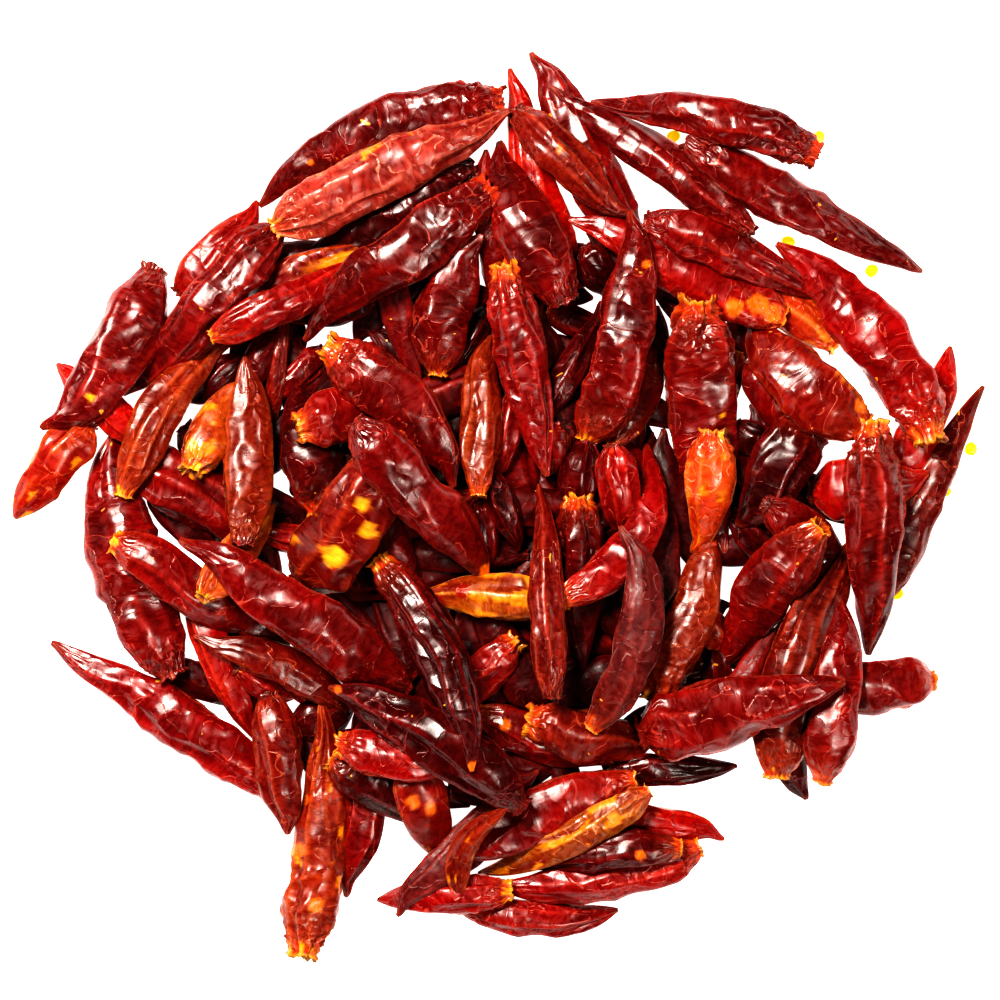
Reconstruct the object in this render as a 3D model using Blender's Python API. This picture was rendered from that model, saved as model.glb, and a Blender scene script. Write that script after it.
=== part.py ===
"""A loose heap of dried red chillies, as it lies on a table, seen by the maker from straight above.

Metres, +Z up. The origin is on the table under the middle of the heap, +Y is the far side.
Each pod is a short tapered loft that is laid on what lies below it, and one union fuses them all.
"""

import math
import random

import bmesh
import bpy
import numpy as np
from mathutils import Vector

# Driving sizes
PIXEL = 0.00025            # real size of one picture pixel, from pods 60 to 66 mm long
CENTRE_PX = (500.0, 501.0)  # picture point over the origin
CORE_SIZE = (0.046, 0.050)  # half axes of the low mound hidden under the middle pods
CORE_CENTRE_PX = (500.0, 530.0)
CORE_HEIGHT = 0.010
FLATNESS = 0.70            # a dried pod's thickness over its width
SINK = 0.0015              # how far a pod presses into what carries it
JOINED = 0.0012            # pods that press less than this into each other count as apart
LIFT = 0.0020              # how far a pod that lay apart is raised into the one above it
STEEPEST = 0.42            # rise over run of the steepest pod
SOFTEST_BOW = 0.085        # how far a pod bows up or down, over its length
END_WEIGHT = 0.5           # how strongly a pod's higher end is kept down
CLEAR = 0.0002             # lowest point of any pod, over the flat that the heap rests on
CELL = 0.001               # step of the height field
SIDES = 6
FLAT_TOP = 1.13            # keeps the flats over and under a six-sided ring at full thickness
SEED = 7

# Each row is one pod, read from the picture in pixels, and laid in this order:
# stalk end x, y, tip x, y, widest width, sideways bow (positive to the left of stalk to tip).
LAID_ON_TABLE = [
    (633, 238, 543, 47, 56, 8),
    (574, 286, 516, 66, 46, 10),
    (503, 300, 481, 150, 36, 0),
    (180, 292, 262, 205, 40, 0),
    (472, 172, 296, 266, 48, 0),
    (247, 290, 386, 242, 34, 0),
    (135, 438, 57, 362, 36, 0),
    (88, 425, 13, 517, 48, 0),
    (96, 520, 104, 600, 24, 0),
    (262, 535, 140, 465, 56, 0),
    (246, 356, 188, 405, 32, 0),
    (283, 325, 235, 400, 34, 0),
    (322, 350, 262, 405, 28, 0),
    (215, 600, 290, 650, 44, 0),
    (165, 665, 238, 705, 35, 0),
    (191, 600, 256, 742, 36, 0),
    (238, 668, 298, 700, 36, 0),
    (287, 680, 326, 708, 26, 0),
    (292, 728, 352, 712, 40, 0),
    (365, 770, 338, 895, 42, 9),
    (463, 908, 619, 914, 36, -9),
    (697, 850, 495, 887, 38, 15),
    (590, 818, 726, 832, 36, 0),
    (678, 848, 525, 868, 34, -6),
    (606, 774, 738, 770, 32, 2),
    (760, 690, 804, 802, 46, 0),
    (931, 682, 800, 690, 52, 0),
    (681, 668, 712, 660, 28, 0),
    (722, 690, 712, 640, 30, 0),
    (897, 478, 953, 346, 38, -5),
    (888, 600, 988, 386, 46, 12),
    (814, 492, 930, 480, 60, 0),
    (735, 512, 790, 575, 40, 0),
    (752, 362, 795, 445, 36, 0),
    (738, 425, 790, 470, 34, 0),
    (738, 352, 715, 430, 26, 0),
    (585, 248, 612, 295, 34, 0),
    (551, 309, 620, 345, 30, 0),
    (586, 445, 572, 515, 40, 0),
    (556, 425, 548, 478, 34, 0),
    (512, 395, 498, 480, 30, 0),
    (487, 308, 448, 375, 28, 0),
    (345, 440, 362, 490, 40, 0),
    (378, 515, 412, 600, 42, 0),
    (480, 505, 492, 565, 26, 0),
    (485, 470, 522, 550, 30, 0),
    (514, 643, 440, 715, 36, 0),
    (478, 712, 620, 760, 44, -8),
    (258, 531, 335, 548, 30, 0),
    (272, 790, 47, 649, 50, -10),
]
LAID_OVER_THEM = [
    (497, 100, 257, 203, 50, -22),
    (277, 230, 126, 398, 60, 0),
    (152, 272, 50, 438, 58, 13),
    (172, 672, 106, 432, 68, 14),
    (118, 543, 247, 637, 52, 8),
    (205, 596, 275, 505, 40, 0),
    (195, 646, 345, 705, 38, 14),
    (268, 698, 292, 834, 50, 0),
    (303, 952, 328, 700, 50, -5),
    (333, 760, 445, 828, 44, 0),
    (412, 765, 440, 862, 50, 0),
    (506, 893, 377, 902, 38, 0),
    (507, 808, 391, 910, 42, 0),
    (634, 783, 465, 868, 54, -13),
    (533, 722, 655, 752, 54, 0),
    (776, 772, 858, 541, 58, 16),
    (822, 778, 841, 596, 50, -5),
    (872, 428, 874, 655, 58, 0),
    (805, 422, 745, 530, 62, 0),
    (767, 505, 848, 560, 46, 0),
    (860, 428, 744, 318, 64, 8),
    (835, 343, 735, 262, 44, 0),
    (782, 318, 574, 210, 50, 5),
    (648, 222, 825, 303, 46, 7),
    (517, 112, 627, 222, 45, 0),
    (750, 231, 547, 93, 42, -9),
    (562, 298, 490, 145, 62, 0),
    (546, 415, 606, 303, 30, 0),
    (612, 445, 662, 305, 34, -12),
    (613, 447, 625, 540, 42, 0),
    (478, 494, 482, 335, 40, 0),
    (318, 508, 298, 385, 52, 0),
    (304, 427, 400, 395, 56, 0),
    (192, 468, 243, 375, 46, 0),
    (266, 440, 287, 308, 18, 0),
    (578, 502, 582, 672, 48, 0),
    (421, 596, 548, 598, 42, 0),
    (690, 600, 740, 661, 34, 0),
    (655, 697, 714, 520, 46, -8),
]
LAID_HIGHER = [
    (125, 493, 228, 333, 44, 14),
    (213, 336, 378, 258, 40, 0),
    (277, 228, 512, 118, 58, 5),
    (487, 193, 297, 331, 55, 0),
    (504, 270, 545, 477, 50, 0),
    (243, 543, 243, 356, 50, -6),
    (333, 352, 463, 482, 60, 10),
    (437, 372, 478, 232, 55, 10),
    (688, 143, 925, 267, 46, -8),
    (815, 158, 591, 107, 46, -14),
    (927, 435, 777, 243, 62, -20),
    (697, 305, 722, 555, 70, -6),
    (588, 438, 637, 210, 56, -15),
    (818, 528, 727, 672, 62, -12),
    (405, 683, 187, 531, 62, 4),
    (306, 582, 363, 466, 70, -8),
    (343, 746, 455, 770, 44, 0),
    (335, 690, 517, 795, 58, 11),
    (459, 893, 512, 808, 26, 20),
    (647, 792, 479, 877, 34, 8),
    (563, 597, 649, 443, 42, -36),
    (551, 695, 543, 484, 34, 0),
    (648, 732, 843, 681, 68, 0),
]
LAID_LAST = [
    (490, 573, 364, 430, 56, 0),
    (382, 562, 475, 769, 46, 17),
    (593, 725, 627, 523, 44, -30),
    (713, 436, 702, 554, 50, 0),
]


def remove_everything():
    for thing in list(bpy.data.objects):
        bpy.data.objects.remove(thing, do_unlink=True)


def in_plan(x, y):
    """A picture point in metres from the origin."""
    return np.array([(x - CENTRE_PX[0]) * PIXEL, (CENTRE_PX[1] - y) * PIXEL])


def fullness(t):
    """Half width of a pod at t along it (0 stalk, 1 tip), over its widest half width."""
    shoulder = np.clip((t + 0.035) / 0.25, 0.0, 1.0)
    body = np.sqrt(1.0 - (1.0 - shoulder) ** 2)
    taper = np.clip((t - 0.32) / 0.68, 0.0, 1.0)
    return np.maximum(body * (1.0 - 0.88 * taper ** 1.55), 0.06)


class Pod:
    """One pod in plan: its middle, its direction, its length, half width and sideways bow."""

    def __init__(self, row):
        stalk = in_plan(row[0], row[1])
        tip = in_plan(row[2], row[3])
        chord = tip - stalk
        self.length = float(np.linalg.norm(chord))
        self.along = chord / self.length
        self.left = np.array([-self.along[1], self.along[0]])
        self.middle = (stalk + tip) / 2
        self.half = row[4] * PIXEL / 2
        self.bow = row[5] * PIXEL
        self.height, self.slope, self.arch = 0.0, 0.0, 0.0
        self.spots, self.swell, self.u = None, None, None

    def plan_bow(self, t):
        return self.bow * (1.0 - (2.0 * t - 1.0) ** 2)

    def rise(self, t):
        u = (t - 0.5) * self.length
        return self.height + self.slope * u + self.arch * u * u

    def level(self):
        """Height of the centre line over each of the pod's cells."""
        return self.height + self.slope * self.u + self.arch * self.u * self.u

    def place(self, t):
        """Centre line at t, as x, y, z."""
        u = (t - 0.5) * self.length
        spot = self.middle + self.along * u + self.left * self.plan_bow(t)
        return Vector((spot[0], spot[1], self.rise(t)))


def floor_grid():
    """Corner and size of the height field, with a margin round the layout."""
    reach = 0.135
    count = int(2 * reach / CELL)
    return reach, count


def core_field():
    """Height of the low mound in the middle of the heap, on the grid."""
    reach, count = floor_grid()
    axis = -reach + CELL * (np.arange(count) + 0.5)
    x, y = np.meshgrid(axis, axis, indexing="ij")
    cx, cy = in_plan(*CORE_CENTRE_PX)
    off = ((x - cx) / CORE_SIZE[0]) ** 2 + ((y - cy) / CORE_SIZE[1]) ** 2
    return x, y, CORE_HEIGHT * np.sqrt(np.clip(1.0 - off, 0.0, 1.0))


def rest_line(u, need):
    """Height at the middle and slope of the lowest line over the points (u, need)."""
    hull = []
    for point in sorted(zip(u, need)):
        while len(hull) > 1:
            (ax, ay), (bx, by) = hull[-2], hull[-1]
            if (bx - ax) * (point[1] - ay) >= (by - ay) * (point[0] - ax):
                hull.pop()
            else:
                break
        hull.append(point)
    slope = 0.0
    for (ax, ay), (bx, by) in zip(hull, hull[1:]):
        if ax <= 0.0 <= bx:
            slope = (by - ay) / (bx - ax)
    slope = min(max(slope, -STEEPEST), STEEPEST)
    return max(n - slope * v for v, n in zip(u, need)), slope


def lay(pod, x, y, field):
    """Lower the pod until it rests on two places round its middle, bowed as lies lowest."""
    dx, dy = x - pod.middle[0], y - pod.middle[1]
    near = np.nonzero(dx * dx + dy * dy < (pod.length / 2 + pod.half * 2) ** 2)
    u = dx[near] * pod.along[0] + dy[near] * pod.along[1]
    t = u / pod.length + 0.5
    across = dx[near] * pod.left[0] + dy[near] * pod.left[1] - pod.plan_bow(t)
    wide = pod.half * fullness(np.clip(t, 0.0, 1.0))
    under = (t > 0.0) & (t < 1.0) & (np.abs(across) < wide * 0.98)
    cells = (near[0][under], near[1][under])
    u, across, wide = u[under], across[under], wide[under]
    swell = FLATNESS * wide * np.sqrt(1.0 - (across / wide) ** 2)
    need = field[cells] + swell - np.where(field[cells] > 0.0, SINK, 0.0)
    slot = np.round(u / CELL).astype(int)
    at = np.unique(slot)
    highest = np.array([need[slot == s].max() for s in at])
    at = at * CELL
    softest = 4.0 * SOFTEST_BOW / pod.length
    best = None
    for arch in np.linspace(-softest, softest, 9):
        height, slope = rest_line(at, highest - arch * at * at)
        mean = height + arch * pod.length ** 2 / 12.0
        end = height + abs(slope) * pod.length / 2.0 + arch * pod.length ** 2 / 4.0
        cost = mean + END_WEIGHT * end
        if best is None or cost < best[0] - 1e-6:
            best = (cost, height, slope, arch)
    _, pod.height, pod.slope, pod.arch = best
    field[cells] = np.maximum(field[cells], pod.rise(u / pod.length + 0.5) + swell)
    stout = (wide > 0.3 * pod.half) & (np.abs(across) < 0.88 * wide)
    pod.u, pod.swell = u[stout], swell[stout]
    pod.spots = (cells[0] * field.shape[1] + cells[1])[stout]


def gaps(low, high):
    """Cells that both pods cover, and the free height between them there."""
    shared, a, b = np.intersect1d(low.spots, high.spots, return_indices=True)
    free = (high.level() - high.swell)[b] - (low.level() + low.swell)[a]
    return shared, free


def groups(pods, core_spots, core_top):
    """Lists of pods that hang together, the one with the most first."""
    home = list(range(len(pods)))

    def root(k):
        while home[k] != k:
            k = home[k]
        return k

    on_core = []
    for k, pod in enumerate(pods):
        _, a, b = np.intersect1d(core_spots, pod.spots, return_indices=True)
        if len(a) and ((pod.level() - pod.swell)[b] - core_top[a]).min() < -JOINED:
            on_core.append(k)
        for n in range(k):
            shared, free = gaps(pods[n], pod)
            if len(free) and free.min() < -JOINED:
                home[root(k)] = root(n)
    for k in on_core:
        home[root(k)] = root(on_core[0])
    found = {}
    for k in range(len(pods)):
        found.setdefault(root(k), []).append(k)
    return sorted(found.values(), key=len, reverse=True)


def nearest_crossing(pods, apart, others):
    """Gap, cell and direction of the crossing where the apart pods come closest to the others."""
    best = None
    for k in apart:
        for n in others:
            low, high = (pods[k], pods[n]) if n > k else (pods[n], pods[k])
            shared, free = gaps(low, high)
            if len(shared) and (best is None or free.min() < best[0]):
                best = (free.min(), shared[free.argmin()], 1.0 if n > k else -1.0)
    return best


def tuck_in(pods, x, y, core_spots, core_top):
    """Tilt pods that lie apart until they lean on the nearest crossing pod, their far end kept."""
    px, py = x.ravel(), y.ravel()
    for _ in range(90):
        parts = groups(pods, core_spots, core_top)
        if len(parts) == 1:
            break
        for apart in reversed(parts[1:]):
            others = [k for part in parts if part is not apart for k in part]
            best = nearest_crossing(pods, apart, others)
            if best is not None:
                break
        if best is None:
            break
        here = np.array([px[best[1]], py[best[1]]])
        ends = [pods[k].place(t) for k in apart for t in (0.0, 1.0)]
        far = max((np.array(e[:2]) for e in ends), key=lambda e: np.linalg.norm(e - here))
        reach = here - far
        ramp = best[2] * (best[0] + LIFT) / float(reach @ reach)
        for k in apart:
            pod = pods[k]
            pod.height += ramp * float((pod.middle - far) @ reach)
            pod.slope += ramp * float(pod.along @ reach)


def off_the_table(corner):
    corner.z = max(corner.z, CLEAR)
    return corner


def ring(pod, t, size, dice):
    """Corners of a cross-section at t: a flattened and slightly uneven six-sided ring."""
    ahead = (pod.place(min(t + 0.02, 1.0)) - pod.place(max(t - 0.02, 0.0))).normalized()
    side = Vector((0, 0, 1)).cross(ahead).normalized()
    up = ahead.cross(side)
    wide = pod.half * size
    corners = []
    for k in range(SIDES):
        turn = 2 * math.pi * (k + 0.5 * (dice.random() - 0.5)) / SIDES
        uneven = 1.03 + 0.10 * (dice.random() - 0.5)
        offset = side * (math.cos(turn) * wide * uneven)
        offset += up * (math.sin(turn) * wide * FLATNESS * FLAT_TOP * uneven)
        corners.append(off_the_table(pod.place(t) + offset))
    return corners


def add_pod(number, pod, group, dice):
    """A closed loft from the puckered stalk end to the pinched tip."""
    shape = bmesh.new()
    count = 6 if pod.length > 0.053 else 5 if pod.length > 0.030 else 4
    stops = [0.03 + 0.90 * (k / (count - 1)) ** 1.1 for k in range(count)]
    rings = []
    for t in stops:
        size = float(fullness(np.array(t)))
        rings.append([shape.verts.new(c) for c in ring(pod, t, size, dice)])
    for near, far in zip(rings, rings[1:]):
        for k in range(SIDES):
            n = (k + 1) % SIDES
            shape.faces.new((near[k], near[n], far[n], far[k]))
    stalk = shape.verts.new(off_the_table(pod.place(0.0)))
    tip = shape.verts.new(off_the_table(pod.place(1.0)))
    for k in range(SIDES):
        n = (k + 1) % SIDES
        shape.faces.new((rings[0][n], rings[0][k], stalk))
        shape.faces.new((rings[-1][k], rings[-1][n], tip))
    bmesh.ops.recalc_face_normals(shape, faces=shape.faces)
    mesh = bpy.data.meshes.new(f"pod_{number}")
    shape.to_mesh(mesh)
    shape.free()
    made = bpy.data.objects.new(f"pod_{number}", mesh)
    group.objects.link(made)
    return made


def add_core(collection):
    """The mound under the middle pods, flat where it rests on the table."""
    bpy.ops.mesh.primitive_uv_sphere_add(segments=20, ring_count=8, radius=1.0)
    core = bpy.context.object
    core.name = "chilli_heap"
    shape = bmesh.new()
    shape.from_mesh(core.data)
    bmesh.ops.bisect_plane(
        shape, geom=shape.verts[:] + shape.edges[:] + shape.faces[:],
        plane_co=(0, 0, 0), plane_no=(0, 0, -1), clear_outer=True,
    )
    rim = [e for e in shape.edges if e.is_boundary]
    bmesh.ops.contextual_create(shape, geom=rim)
    cx, cy = in_plan(*CORE_CENTRE_PX)
    for v in shape.verts:
        v.co = (cx + v.co.x * CORE_SIZE[0], cy + v.co.y * CORE_SIZE[1], v.co.z * CORE_HEIGHT)
    bmesh.ops.recalc_face_normals(shape, faces=shape.faces)
    shape.to_mesh(core.data)
    shape.free()
    for owner in list(core.users_collection):
        owner.objects.unlink(core)
    collection.objects.link(core)
    return core


def dried_skin():
    skin = bpy.data.materials.new("dried_chilli_skin")
    skin.use_nodes = True
    shader = skin.node_tree.nodes["Principled BSDF"]
    shader.inputs["Base Color"].default_value = (0.20, 0.008, 0.010, 1.0)
    shader.inputs["Roughness"].default_value = 0.35
    shader.inputs["Metallic"].default_value = 0.0
    return skin


def fuse(core, group):
    """One union of the core with every pod, applied, and the loose pods then removed."""
    union = core.modifiers.new("fuse", "BOOLEAN")
    union.operation = "UNION"
    union.operand_type = "COLLECTION"
    union.collection = group
    union.solver = "MANIFOLD"
    bpy.context.view_layer.objects.active = core
    bpy.ops.object.modifier_apply(modifier=union.name)
    for pod in list(group.objects):
        bpy.data.objects.remove(pod, do_unlink=True)
    bpy.data.collections.remove(group)


def bodies(shape):
    """The faces of each connected shell, the largest first."""
    left = set(shape.faces)
    found = []
    while left:
        start = left.pop()
        shell, open_ends = {start}, [start]
        while open_ends:
            for edge in open_ends.pop().edges:
                for face in edge.link_faces:
                    if face in left:
                        left.remove(face)
                        shell.add(face)
                        open_ends.append(face)
        found.append(shell)
    return sorted(found, key=len, reverse=True)


def keep_outer_shell(core):
    """Fill the hollows that fusing sealed and drop any scrap that touches nothing."""
    shape = bmesh.new()
    shape.from_mesh(core.data)
    shells = bodies(shape)
    for shell in shells[1:]:
        bmesh.ops.delete(shape, geom=list(shell), context="FACES")
    bmesh.ops.triangulate(shape, faces=shape.faces)
    shape.to_mesh(core.data)
    shape.free()


def main():
    remove_everything()
    collection = bpy.data.collections.new("dried_chilli_heap")
    bpy.context.scene.collection.children.link(collection)
    group = bpy.data.collections.new("pods")
    collection.children.link(group)
    core = add_core(collection)
    core.data.materials.append(dried_skin())
    dice = random.Random(SEED)
    x, y, field = core_field()
    rows = LAID_ON_TABLE + LAID_OVER_THEM + LAID_HIGHER + LAID_LAST
    core_top = field.ravel()
    core_spots = np.nonzero(core_top > 0.0)[0]
    core_top = core_top[core_spots]
    pods = [Pod(row) for row in rows]
    for pod in pods:
        lay(pod, x, y, field)
    tuck_in(pods, x, y, core_spots, core_top)
    for number, pod in enumerate(pods):
        add_pod(number, pod, group, dice)
    fuse(core, group)
    keep_outer_shell(core)


main()
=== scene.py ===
"""A loose heap of dried red chillies on a pale floor, seen from straight above.

Every pod is a closed, wrinkled mesh at its real size. The visible pods are read from the picture and
laid on one another, lowest first, by the rule that the solid heap was laid by. Smaller, dark pods
fill the gaps under them, dark as painted shade. All pods with one kind of skin are joined in one mesh.
"""

import math

import bpy
import numpy as np
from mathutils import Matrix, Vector


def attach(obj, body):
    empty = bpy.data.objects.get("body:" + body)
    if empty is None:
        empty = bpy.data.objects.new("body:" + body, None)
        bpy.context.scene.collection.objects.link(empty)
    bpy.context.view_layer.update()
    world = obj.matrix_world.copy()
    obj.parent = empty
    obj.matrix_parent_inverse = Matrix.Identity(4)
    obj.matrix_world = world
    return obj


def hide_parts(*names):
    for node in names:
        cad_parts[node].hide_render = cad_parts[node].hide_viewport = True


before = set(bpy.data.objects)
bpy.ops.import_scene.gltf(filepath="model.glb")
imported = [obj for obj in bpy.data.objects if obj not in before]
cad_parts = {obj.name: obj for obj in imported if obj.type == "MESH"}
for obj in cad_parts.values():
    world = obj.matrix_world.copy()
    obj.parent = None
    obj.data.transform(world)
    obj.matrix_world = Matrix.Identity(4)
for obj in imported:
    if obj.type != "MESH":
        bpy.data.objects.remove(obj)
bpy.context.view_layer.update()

# Driving sizes, the same as the solid heap's
PIXEL = 0.00025  # real size of one picture pixel
CENTRE_PX = (500.0, 501.0)  # picture point over the origin
CORE_SIZE = (0.046, 0.050)  # half sizes of the low mound under the middle of the heap
CORE_CENTRE_PX = (500.0, 530.0)
CORE_HEIGHT = 0.010
FLATNESS = 0.70  # a dried pod's thickness over its width
SINK = 0.0015  # how far a pod presses into what it lies on
JOINED = 0.0012  # overlap from which two pods hang together
LIFT = 0.0020  # how much further than touching a loose pod is tilted
STEEPEST = 0.42  # slope of the steepest pod
SOFTEST_BOW = 0.085  # how far a pod may bow up or down, over its length
BOWS_TRIED = 9
END_WEIGHT = 0.5  # what a low end counts against a low middle
TUCK_ROUNDS = 90
CELL = 0.001  # side of a cell in the field of heights
FIELD_REACH = 0.135  # half side of that field
COVERED = 0.98  # part of a pod's width that its footprint takes in
ON_FLOOR = 0.00003  # lowest that any skin reaches

# A pod tapers from here to its tip, over its length
TAPER_FROM, TAPER_LONG = 0.32, 0.68

# Fineness of the meshes
RING_STEP = 0.00047  # distance between rings along a visible pod
FEWEST_RINGS = 44
CROWDING = 0.055  # how much closer together rings are at a pod's ends
COLUMN_TURN = 0.175  # angle between columns round a visible pod
ROUND_SCALE = 3.4  # half width of a pod in the space of its noise, in millimetres
HIDDEN_RING_STEP = RING_STEP * 1.9
HIDDEN_FINENESS = 0.64

# Pods under the visible ones
FILLERS = 90  # most chance pods laid there
FILLER_TRIES = 40  # chance pods compared for each of them
FILLER_TOP = (0.008, 0.0135)  # highest that they reach in a gap, at the rim and in the middle
FILLER_LONG_PX = (95, 90)  # least length, and what chance adds
FILLER_WIDE_PX = (34, 16)
# Mostly dark skins: painted shade for the gaps under the visible pods.
FILLER_SKINS = ("dark", "dark", "dark", "wine")
SMALL_FILLER = 0.6  # size of the later ones over the first ones
HEIGHT_GAIN = 4000.0  # covered cells that a metre of height is worth
MOST_OF_FLOOR = 3  # cells of seen floor that one may cover
SEED = 21
HEAP_MIDDLE_PX = (495.0, 520.0)
HEAP_REACH_PX = (330.0, 300.0)
# Places in the heap where the picture shows the floor: x, y, radius in pixels
FLOOR_SEEN = [
    (316, 336, 8), (330, 336, 9), (484, 245, 12), (484, 275, 12), (590, 255, 14), (592, 280, 12),
    (460, 155, 12), (180, 535, 14), (285, 555, 12), (285, 572, 12), (183, 610, 14), (186, 632, 12),
    (230, 715, 14), (230, 748, 12), (310, 702, 14), (345, 805, 10), (345, 835, 10), (455, 820, 10),
    (605, 760, 14), (645, 703, 12), (722, 582, 14), (734, 598, 12), (745, 402, 12), (745, 424, 12),
    (820, 560, 12), (780, 610, 16), (840, 585, 12), (690, 665, 12), (800, 740, 14), (722, 330, 12),
]

# Each row is one pod, read from the picture in pixels, and laid in this order: stalk end x, y,
# tip x, y, widest width, skin, and for some the colour of the stalk end and the sideways bow
LAID_ON_TABLE = [
    (633, 238, 543, 47, 56, "wine", "hidden", 8),
    (574, 286, 516, 66, 46, "bright", "hidden", 10),
    (503, 300, 481, 150, 36, "red", "hidden"),
    (180, 292, 262, 205, 40, "bright"),
    (472, 172, 296, 266, 48, "dark", "open"),
    (247, 290, 386, 242, 34, "edged", "orange"),
    (135, 438, 57, 362, 36, "bright", "hidden"),
    (88, 425, 13, 517, 48, "flame", "hidden"),
    (96, 520, 104, 600, 24, "bright"),
    (140, 460, 275, 543, 62, "wine", "hidden"),
    (246, 356, 188, 405, 32, "dark", "hidden"),
    (283, 325, 235, 400, 34, "dark"),
    (322, 350, 262, 405, 28, "red"),
    (215, 600, 290, 650, 44, "dark"),
    (165, 665, 238, 705, 35, "dark"),
    (191, 600, 256, 742, 36, "bright"),
    (238, 668, 298, 700, 36, "red"),
    (287, 680, 326, 708, 26, "red"),
    (292, 728, 352, 712, 40, "dark"),
    (365, 770, 338, 895, 42, "wine", "plain", 9),
    (463, 908, 619, 914, 36, "red", "orange", -9),
    (697, 850, 495, 887, 43, "red", "orange", 13),
    (590, 818, 726, 832, 36, "bright"),
    (678, 848, 525, 868, 40, "dark", "orange", -6),
    (606, 774, 738, 770, 32, "dark", "plain", 2),
    (760, 690, 804, 802, 46, "dark"),
    (931, 682, 800, 690, 52, "wine", "orange"),
    (681, 668, 712, 660, 28, "red"),
    (722, 690, 712, 640, 30, "dark"),
    (897, 478, 953, 346, 38, "bright", "plain", -5),
    (884, 600, 986, 386, 42, "brown", "plain", 8),
    (814, 492, 930, 480, 60, "bright"),
    (735, 512, 790, 575, 40, "dark"),
    (752, 362, 795, 445, 36, "red"),
    (738, 425, 790, 470, 34, "dark"),
    (738, 352, 715, 430, 26, "brown", "orange"),
    (585, 248, 612, 295, 34, "dark"),
    (551, 309, 620, 345, 30, "dark", "orange"),
    (586, 445, 572, 515, 40, "dark"),
    (556, 425, 548, 478, 34, "red"),
    (512, 395, 498, 480, 30, "red"),
    (487, 308, 448, 375, 28, "dark"),
    (345, 440, 362, 490, 40, "dark"),
    (378, 515, 412, 600, 42, "dark"),
    (480, 505, 492, 565, 26, "dark"),
    (485, 470, 522, 550, 30, "dark"),
    (514, 643, 440, 715, 40, "red", "frayed"),
    (478, 712, 620, 760, 44, "wine", "orange", -8),
    (258, 531, 335, 548, 30, "red"),
    (272, 790, 47, 649, 50, "ruby", "hidden", -10),
]
LAID_OVER_THEM = [
    (497, 100, 257, 203, 50, "wine", "ragged", -22),
    (277, 230, 126, 398, 52, "wine"),
    (152, 272, 50, 438, 58, "wine", "plain", 13),
    (172, 672, 106, 432, 68, "wine", "plain", 14),
    (118, 543, 247, 637, 52, "wine", "yellow", 8),
    (205, 596, 275, 505, 40, "orange", "yellow"),
    (345, 705, 193, 645, 40, "brown", "hidden", -14),
    (268, 698, 292, 834, 50, "brown"),
    (303, 952, 328, 700, 52, "rust", "frayed", -5),
    (333, 760, 445, 828, 44, "dark", "yellow"),
    (412, 765, 440, 862, 50, "spotted"),
    (506, 893, 377, 902, 38, "ruby", "frayed"),
    (507, 808, 391, 910, 42, "matte", "hidden"),
    (634, 783, 465, 868, 54, "red", "orange", -13),
    (533, 722, 655, 752, 54, "brown", "torn"),
    (776, 772, 858, 541, 58, "brown", "yellow", 16),
    (822, 778, 841, 596, 50, "wine", "orange", -5),
    (872, 428, 874, 655, 58, "wine", "torn"),
    (805, 422, 745, 530, 62, "dark", "frayed"),
    (767, 505, 848, 560, 46, "wine"),
    (860, 428, 744, 318, 64, "spotted", "orange", 8),
    (835, 343, 735, 262, 44, "ember", "yellow"),
    (782, 318, 574, 210, 50, "red", "orange", 5),
    (648, 222, 825, 303, 46, "wine", "plain", 7),
    (517, 112, 627, 222, 45, "brown"),
    (750, 231, 547, 93, 42, "wine", "plain", -9),
    (562, 298, 490, 145, 62, "wine"),
    (546, 415, 606, 303, 30, "dark"),
    (612, 445, 662, 305, 34, "brown", "orange", -12),
    (613, 447, 625, 540, 42, "red"),
    (478, 494, 482, 335, 40, "tan", "orange"),
    (318, 508, 298, 378, 58, "dark", "torn"),
    (304, 427, 400, 395, 56, "red", "torn"),
    (192, 468, 243, 375, 46, "orange", "frayed"),
    (266, 440, 287, 308, 18, "brown"),
    (578, 502, 582, 672, 48, "dark", "torn"),
    (566, 601, 418, 594, 46, "gold", "orange"),
    (690, 600, 740, 661, 34, "flame", "hidden"),
    (655, 697, 714, 520, 46, "tan", "frayed", -8),
]
LAID_HIGHER = [
    (125, 493, 228, 333, 44, "tan", "yellow", 14),
    (213, 336, 378, 258, 40, "red", "yellow"),
    (277, 228, 512, 118, 58, "coral", "yellow", 5),
    (487, 193, 297, 331, 57, "wine", "ragged"),
    (504, 270, 545, 477, 50, "ruby", "torn"),
    (243, 543, 243, 356, 50, "tan", "plain", -6),
    (333, 352, 463, 482, 60, "wine", "torn", 10),
    (437, 372, 478, 232, 55, "wine", "yellow", 10),
    (688, 143, 925, 267, 46, "wine", "plain", -8),
    (811, 155, 591, 107, 46, "wine", "ragged", -14),
    (927, 435, 777, 243, 62, "ruby", "torn", -20),
    (697, 305, 722, 555, 70, "wine", "torn", -6),
    (588, 438, 637, 210, 56, "wine", "yellow", -15),
    (818, 528, 727, 672, 60, "wine", "orange", -12),
    (405, 683, 187, 531, 62, "wine", "plain", 4),
    (306, 582, 398, 428, 74, "spotted", "plain", -8),
    (343, 746, 455, 770, 44, "ruby", "frayed"),
    (520, 802, 330, 684, 58, "dark", "plain", -11),
    (459, 893, 512, 808, 26, "rust", "plain", 20),
    (647, 792, 479, 877, 34, "gold", "orange", 8),
    (563, 597, 649, 443, 42, "ruby", "orange", -36),
    (551, 695, 543, 484, 34, "brown"),
    (648, 732, 843, 681, 68, "wine"),
]
LAID_LAST = [
    (358, 424, 494, 577, 56, "wine"),
    (382, 562, 475, 769, 46, "dark", "frayed", 17),
    (593, 725, 627, 523, 44, "matte", "orange", -30),
    (713, 436, 702, 554, 50, "ember", "frayed"),
]
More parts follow.
